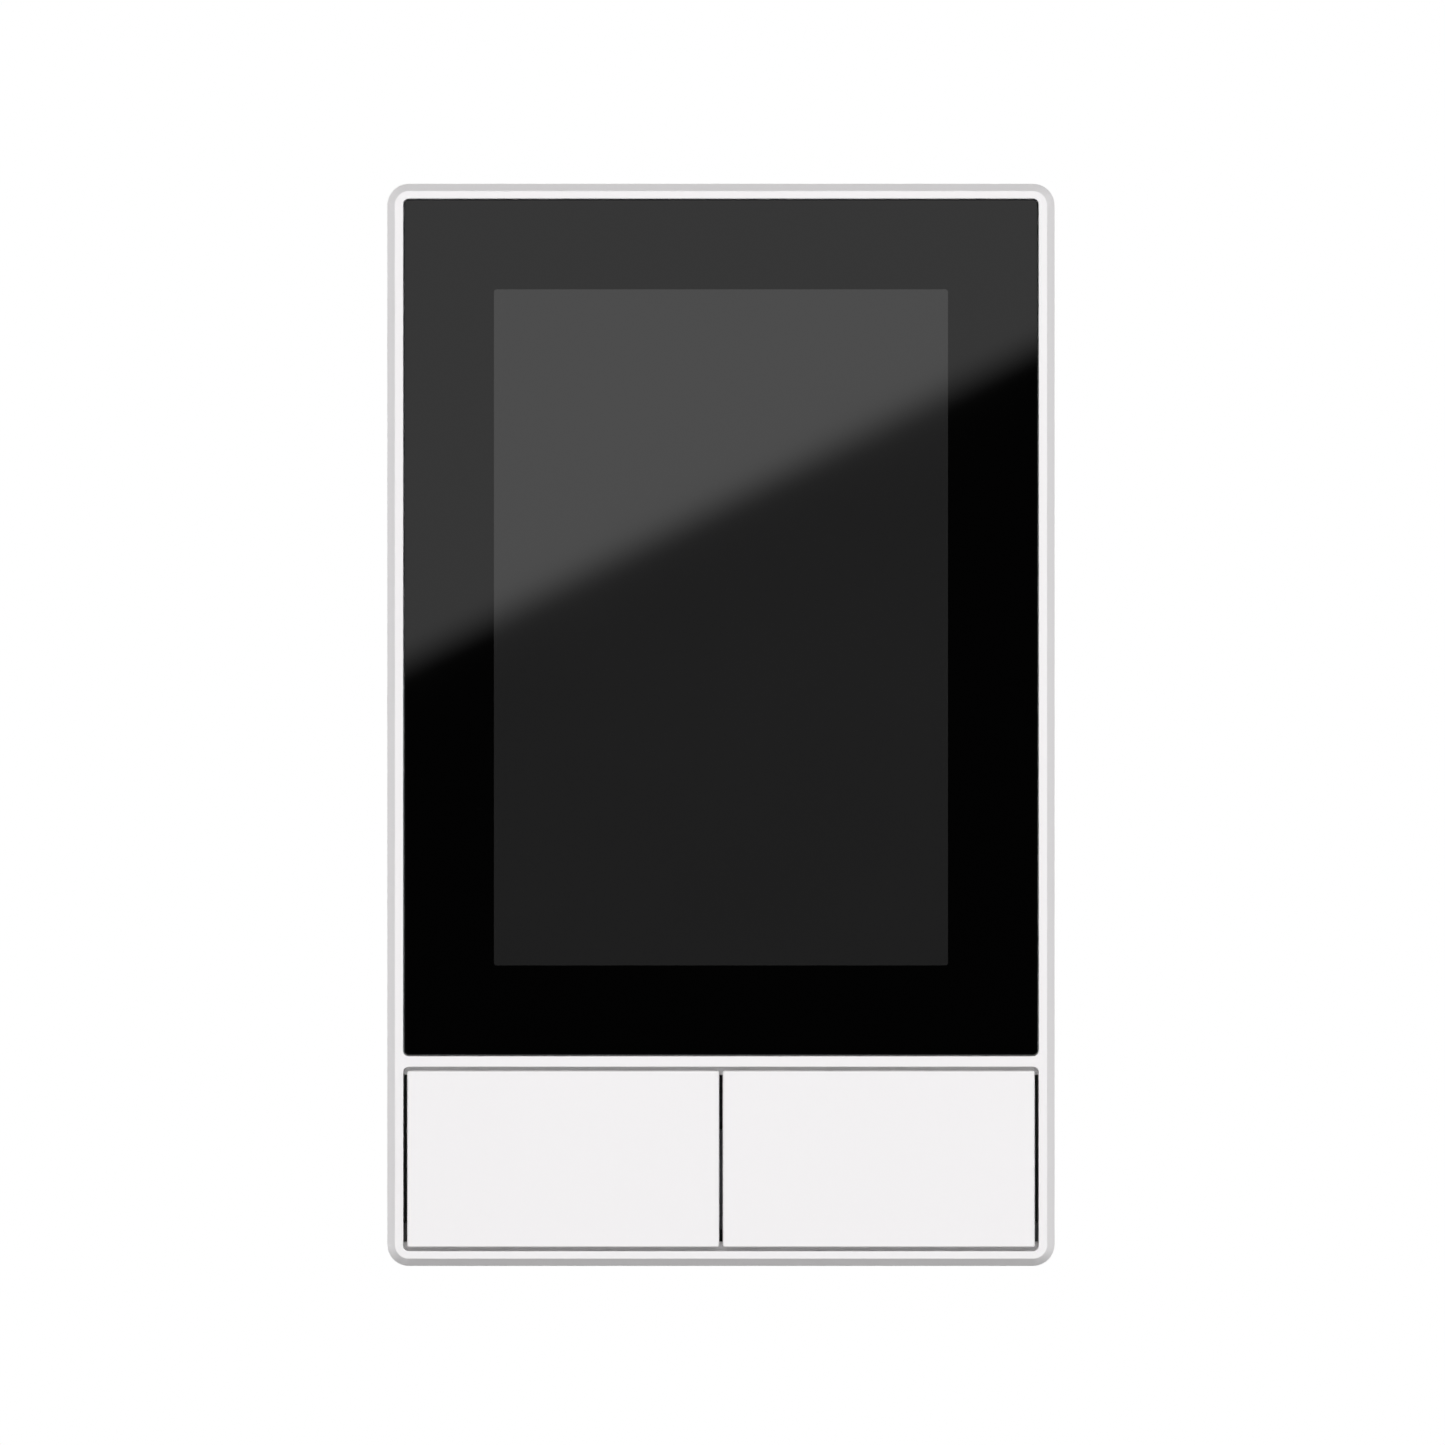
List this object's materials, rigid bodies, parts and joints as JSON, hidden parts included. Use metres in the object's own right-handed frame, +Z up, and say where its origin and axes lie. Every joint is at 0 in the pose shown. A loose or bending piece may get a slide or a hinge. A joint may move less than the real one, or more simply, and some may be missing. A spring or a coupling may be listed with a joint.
{
  "type": "video intercom monitor",
  "caption": "Wall touch panel for intercom and room control: glass display over wide push keys, clipped to a frame with a wall-box power module behind.",
  "frame": {"origin": "the point of the wall plane behind the middle of the panel, in the middle of the wall box's opening", "axes": "+Z up, +X to the right of someone facing the panel, +Y into the wall; the display looks along -Y"},
  "size_m": [0.074, 0.042, 0.12],
  "materials": {
    "shell_white": "satin white moulded plastic",
    "key_white": "satin white moulded plastic",
    "inner_white": "fine matt moulded plastic",
    "cover_grey": "matt dark moulded plastic",
    "black_plastic": "matt black plastic",
    "block_grey": "matt grey plastic",
    "black_glass": "polished, printed black behind",
    "display_glass": "dark polarised display glass",
    "black_tape": "matt foam tape",
    "light_guide": "clear acrylic with white film",
    "pressed_steel": "plain bright steel",
    "zinc_steel": "zinc-plated steel",
    "tinned_metal": "tinned sheet metal",
    "brass_cage": "plain brass",
    "black_board": "black solder mask",
    "green_board": "green solder mask",
    "amber_film": "amber polyimide film",
    "chip_black": "moulded black epoxy",
    "ivory_nylon": "ivory nylon",
    "relay_blue": "blue moulded cover",
    "ferrite": "bare grey ferrite",
    "coil_tape": "yellow insulating tape",
    "capacitor_sleeve": "shrunk dark sleeve",
    "film_yellow": "yellow moulded box",
    "varistor_blue": "blue epoxy coating"
  },
  "bodies": {
    "wall_unit": {"mount_frame": "inner_white", "upper_wall_screw": "zinc_steel", "lower_wall_screw": "zinc_steel", "module_screw_1": "zinc_steel", "module_screw_2": "zinc_steel", "module_screw_3": "zinc_steel", "module_screw_4": "zinc_steel", "power_lid": "inner_white", "power_case": "inner_white", "power_board": "green_board", "board_plug": "black_plastic", "relay_1": "relay_blue", "relay_2": "relay_blue", "transformer_core": "ferrite", "transformer_coil": "coil_tape", "filter_capacitor": "capacitor_sleeve", "film_capacitor": "film_yellow", "varistor": "varistor_blue", "terminal_block": "block_grey", "terminal_tab_1": "tinned_metal", "terminal_tab_2": "tinned_metal", "terminal_tab_3": "tinned_metal", "terminal_tab_4": "tinned_metal"},
    "front_unit": {"front_bezel": "shell_white", "cover_glass": "black_glass", "glass_adhesive": "black_tape", "lcd_panel": "display_glass", "light_guide": "light_guide", "lcd_tray": "pressed_steel", "display_flex": "amber_film", "touch_flex": "amber_film", "main_board": "black_board", "display_connector": "ivory_nylon", "touch_connector": "ivory_nylon", "radio_module": "tinned_metal", "processor_chip": "chip_black", "microphone": "tinned_metal", "speaker": "block_grey", "board_socket": "black_plastic", "left_key_rod": "pressed_steel", "right_key_rod": "pressed_steel", "left_switch_body": "black_plastic", "right_switch_body": "black_plastic", "rear_cover": "cover_grey", "cover_screw_1": "pressed_steel", "cover_screw_2": "pressed_steel", "cover_screw_3": "pressed_steel", "cover_screw_4": "pressed_steel"},
    "left_key": {"left_key": "key_white"},
    "right_key": {"right_key": "key_white"},
    "left_plunger": {"left_switch_plunger": "ivory_nylon"},
    "right_plunger": {"right_switch_plunger": "ivory_nylon"},
    "terminal_screw_1": {"terminal_screw_1": "zinc_steel"},
    "terminal_cage_1": {"terminal_cage_1": "brass_cage"},
    "terminal_screw_2": {"terminal_screw_2": "zinc_steel"},
    "terminal_cage_2": {"terminal_cage_2": "brass_cage"},
    "terminal_screw_3": {"terminal_screw_3": "zinc_steel"},
    "terminal_cage_3": {"terminal_cage_3": "brass_cage"},
    "terminal_screw_4": {"terminal_screw_4": "zinc_steel"},
    "terminal_cage_4": {"terminal_cage_4": "brass_cage"}
  },
  "joints": [
    {"name": "front_unit_pull_off", "type": "slide", "parent": "wall_unit", "child": "front_unit", "axis": [0, -1, 0], "range_m": [0, 0.03]},
    {"name": "left_key_press", "type": "hinge", "parent": "front_unit", "child": "left_key", "pos_m": [0, -0.0081, -0.04062], "axis": [1, 0, 0], "range_deg": [0, 1.5], "stiffness_Nm_per_rad": 0.5, "springref_deg": -2.23},
    {"name": "left_switch_travel", "type": "slide", "parent": "front_unit", "child": "left_plunger", "axis": [0, 1, 0], "range_m": [0, 0.00035]},
    {"name": "right_key_press", "type": "hinge", "parent": "front_unit", "child": "right_key", "pos_m": [0, -0.0081, -0.04062], "axis": [1, 0, 0], "range_deg": [0, 1.5], "stiffness_Nm_per_rad": 0.5, "springref_deg": -2.23},
    {"name": "right_switch_travel", "type": "slide", "parent": "front_unit", "child": "right_plunger", "axis": [0, 1, 0], "range_m": [0, 0.00035]},
    {"name": "terminal_screw_1_turn", "type": "hinge", "parent": "wall_unit", "child": "terminal_screw_1", "pos_m": [-0.015, 0.0205, -0.026], "axis": [0, -1, 0], "range_deg": [0, 1440]},
    {"name": "terminal_cage_1_rise", "type": "slide", "parent": "wall_unit", "child": "terminal_cage_1", "axis": [0, 1, 0], "range_m": [0, 0.0028]},
    {"name": "terminal_screw_2_turn", "type": "hinge", "parent": "wall_unit", "child": "terminal_screw_2", "pos_m": [-0.005, 0.0205, -0.026], "axis": [0, -1, 0], "range_deg": [0, 1440]},
    {"name": "terminal_cage_2_rise", "type": "slide", "parent": "wall_unit", "child": "terminal_cage_2", "axis": [0, 1, 0], "range_m": [0, 0.0028]},
    {"name": "terminal_screw_3_turn", "type": "hinge", "parent": "wall_unit", "child": "terminal_screw_3", "pos_m": [0.005, 0.0205, -0.026], "axis": [0, -1, 0], "range_deg": [0, 1440]},
    {"name": "terminal_cage_3_rise", "type": "slide", "parent": "wall_unit", "child": "terminal_cage_3", "axis": [0, 1, 0], "range_m": [0, 0.0028]},
    {"name": "terminal_screw_4_turn", "type": "hinge", "parent": "wall_unit", "child": "terminal_screw_4", "pos_m": [0.015, 0.0205, -0.026], "axis": [0, -1, 0], "range_deg": [0, 1440]},
    {"name": "terminal_cage_4_rise", "type": "slide", "parent": "wall_unit", "child": "terminal_cage_4", "axis": [0, 1, 0], "range_m": [0, 0.0028]}
  ],
  "couplings": [
    {"joint": "left_switch_travel", "follows": "left_key_press", "m_per_rad": 0.0125},
    {"joint": "right_switch_travel", "follows": "right_key_press", "m_per_rad": 0.0125},
    {"joint": "terminal_screw_1_turn", "follows": "terminal_cage_1_rise", "rad_per_m": 8976},
    {"joint": "terminal_screw_2_turn", "follows": "terminal_cage_2_rise", "rad_per_m": 8976},
    {"joint": "terminal_screw_3_turn", "follows": "terminal_cage_3_rise", "rad_per_m": 8976},
    {"joint": "terminal_screw_4_turn", "follows": "terminal_cage_4_rise", "rad_per_m": 8976}
  ]
}
